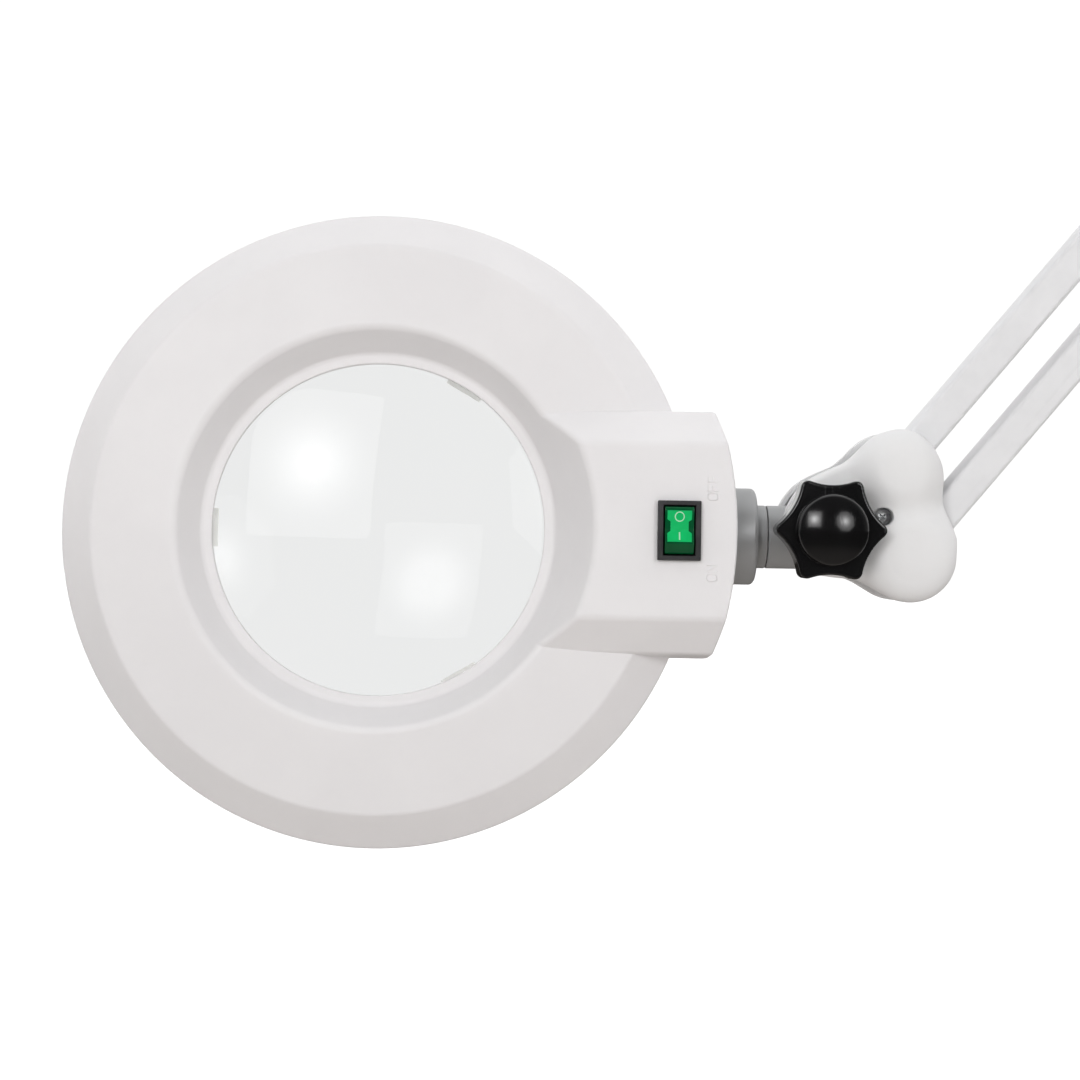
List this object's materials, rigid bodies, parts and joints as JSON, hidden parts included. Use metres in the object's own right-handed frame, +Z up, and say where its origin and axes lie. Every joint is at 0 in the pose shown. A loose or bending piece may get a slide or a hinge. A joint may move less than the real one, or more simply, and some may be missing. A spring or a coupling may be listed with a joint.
{
  "type": "magnifying lamp",
  "caption": "Bench magnifying lamp: round lens head with a ring light and rocker switch, star-knob tilt joint, sprung parallelogram arms and a table clamp.",
  "frame": {"origin": "centre of the clamp jaw's underside, where the lamp rests on the table top", "axes": "+Z up, -X from the clamp towards the head and over the table, the lens head faces -Y"},
  "size_m": [0.6802, 0.0773, 0.636],
  "materials": {
    "white_shell": "smooth moulded shell, satin gloss",
    "white_cover": "fine satin moulding",
    "white_paint": "smooth white powder coat",
    "grey_paint": "smooth grey powder coat",
    "frosted": "frosted translucent sheet",
    "glass": "polished optical glass",
    "lamp_glass": "glass tube with a white inner coating",
    "black_knob": "polished black moulding",
    "black_frame": "fine black moulding",
    "green": "translucent green moulding",
    "steel": "bright plated steel",
    "rubber": "moulded rubber",
    "board": "green circuit board",
    "copper": "enamelled copper winding"
  },
  "bodies": {
    "clamp": {"clamp_frame": "white_paint", "jaw_pad": "rubber", "socket_bush": "black_frame"},
    "lock_screw": {"lock_screw": "black_knob"},
    "press": {"pressure_pad": "steel"},
    "screw": {"clamp_screw": "steel"},
    "bar": {"tommy_bar": "steel"},
    "turntable": {"base_yoke": "steel", "base_cover_front": "white_cover", "base_cover_rear": "white_cover", "base_bolt_1": "steel", "base_bolt_2": "steel", "base_pin": "steel"},
    "lower_arm": {"lower_tube_left": "white_paint"},
    "lower_link": {"lower_tube_right": "white_paint", "lower_arm_spring": "steel", "lower_spring_rivet": "steel"},
    "elbow": {"elbow_plate_front": "steel", "elbow_plate_rear": "steel", "elbow_cover_front": "white_cover", "elbow_cover_rear": "white_cover", "elbow_bolt_1": "steel", "elbow_bolt_2": "steel", "elbow_bolt_3": "steel", "elbow_bolt_4": "steel"},
    "upper_arm": {"upper_tube_top": "white_paint"},
    "upper_link": {"upper_tube_bottom": "white_paint", "upper_arm_spring": "steel", "upper_spring_rivet": "steel"},
    "head_bracket": {"head_plate_front": "steel", "head_plate_rear": "steel", "head_cover_front": "white_cover", "head_cover_rear": "white_cover", "head_cover_screw": "steel", "head_bolt_upper": "steel", "head_bolt_lower": "steel", "tilt_bolt": "steel"},
    "knob": {"star_knob": "black_knob"},
    "knuckle": {"tilt_knuckle": "grey_paint", "swivel_nut": "steel", "swivel_washer": "steel"},
    "head": {"upper_housing": "white_shell", "neck_cover": "white_shell", "light_cover": "frosted", "lens": "glass", "ring_lamp": "lamp_glass", "lamp_base": "white_shell", "lamp_socket": "white_shell", "lens_clip_60": "steel", "lens_clip_180": "steel", "lens_clip_300": "steel", "lamp_clip_90": "steel", "lamp_clip_180": "steel", "lamp_clip_270": "steel", "switch_body": "black_frame", "ballast_board": "board", "ballast_coil": "copper", "ballast_capacitor": "rubber", "swivel_flange": "grey_paint"},
    "rocker": {"switch_rocker": "green"}
  },
  "joints": [
    {"name": "lock_screw_turn", "type": "hinge", "parent": "clamp", "child": "lock_screw", "pos_m": [0.02, 0, 0.028], "axis": [1, 0, 0], "range_deg": [-180, 0]},
    {"name": "press_travel", "type": "slide", "parent": "clamp", "child": "press", "axis": [0, 0, 1], "range_m": [-0.0195, 0.025]},
    {"name": "clamp_screw_turn", "type": "hinge", "parent": "press", "child": "screw", "pos_m": [0, 0, -0.08], "axis": [0, 0, 1], "range_deg": [-4680, 6000]},
    {"name": "tommy_bar_slide", "type": "slide", "parent": "screw", "child": "bar", "axis": [0, 1, 0], "range_m": [-0.016, 0.016]},
    {"name": "base_swivel", "type": "hinge", "parent": "clamp", "child": "turntable", "pos_m": [0.014, 0, 0.05], "axis": [0, 0, 1], "range_deg": [-180, 180]},
    {"name": "lower_arm_lift", "type": "hinge", "parent": "turntable", "child": "lower_arm", "pos_m": [-0.0015, 0, 0.084], "axis": [0, 1, 0], "range_deg": [-40, 40]},
    {"name": "lower_link_lift", "type": "hinge", "parent": "turntable", "child": "lower_link", "pos_m": [0.0295, 0, 0.084], "axis": [0, 1, 0], "range_deg": [-40, 40]},
    {"name": "elbow_level", "type": "hinge", "parent": "lower_arm", "child": "elbow", "pos_m": [-0.06749, 0, 0.45823], "axis": [0, 1, 0], "range_deg": [-40, 40]},
    {"name": "upper_arm_lift", "type": "hinge", "parent": "elbow", "child": "upper_arm", "pos_m": [-0.09409, 0, 0.50343], "axis": [0, 1, 0], "range_deg": [-22, 60]},
    {"name": "upper_link_lift", "type": "hinge", "parent": "elbow", "child": "upper_link", "pos_m": [-0.08949, 0, 0.47223], "axis": [0, 1, 0], "range_deg": [-22, 60]},
    {"name": "head_level", "type": "hinge", "parent": "upper_arm", "child": "head_bracket", "pos_m": [-0.33631, 0, 0.21063], "axis": [0, 1, 0], "range_deg": [-60, 22]},
    {"name": "knob_turn", "type": "hinge", "parent": "head_bracket", "child": "knob", "pos_m": [-0.36261, -0.03, 0.18903], "axis": [0, 1, 0], "range_deg": [-180, 180]},
    {"name": "head_tilt", "type": "hinge", "parent": "head_bracket", "child": "knuckle", "pos_m": [-0.36261, 0, 0.18903], "axis": [0, 1, 0], "range_deg": [-50, 60]},
    {"name": "head_swivel", "type": "hinge", "parent": "knuckle", "child": "head", "pos_m": [-0.52201, 0, 0.18628], "axis": [1, 0, 0], "range_deg": [-222, 48]},
    {"name": "switch_rock", "type": "hinge", "parent": "head", "child": "rocker", "pos_m": [-0.41541, -0.03056, 0.18788], "axis": [1, 0, 0], "range_deg": [0, 14]}
  ],
  "couplings": [
    {"joint": "press_travel", "follows": "clamp_screw_turn", "m_per_rad": 0.00023873},
    {"joint": "lower_link_lift", "follows": "lower_arm_lift", "ratio": 1},
    {"joint": "elbow_level", "follows": "lower_arm_lift", "ratio": -1},
    {"joint": "upper_link_lift", "follows": "upper_arm_lift", "ratio": 1},
    {"joint": "head_level", "follows": "upper_arm_lift", "ratio": -1}
  ]
}
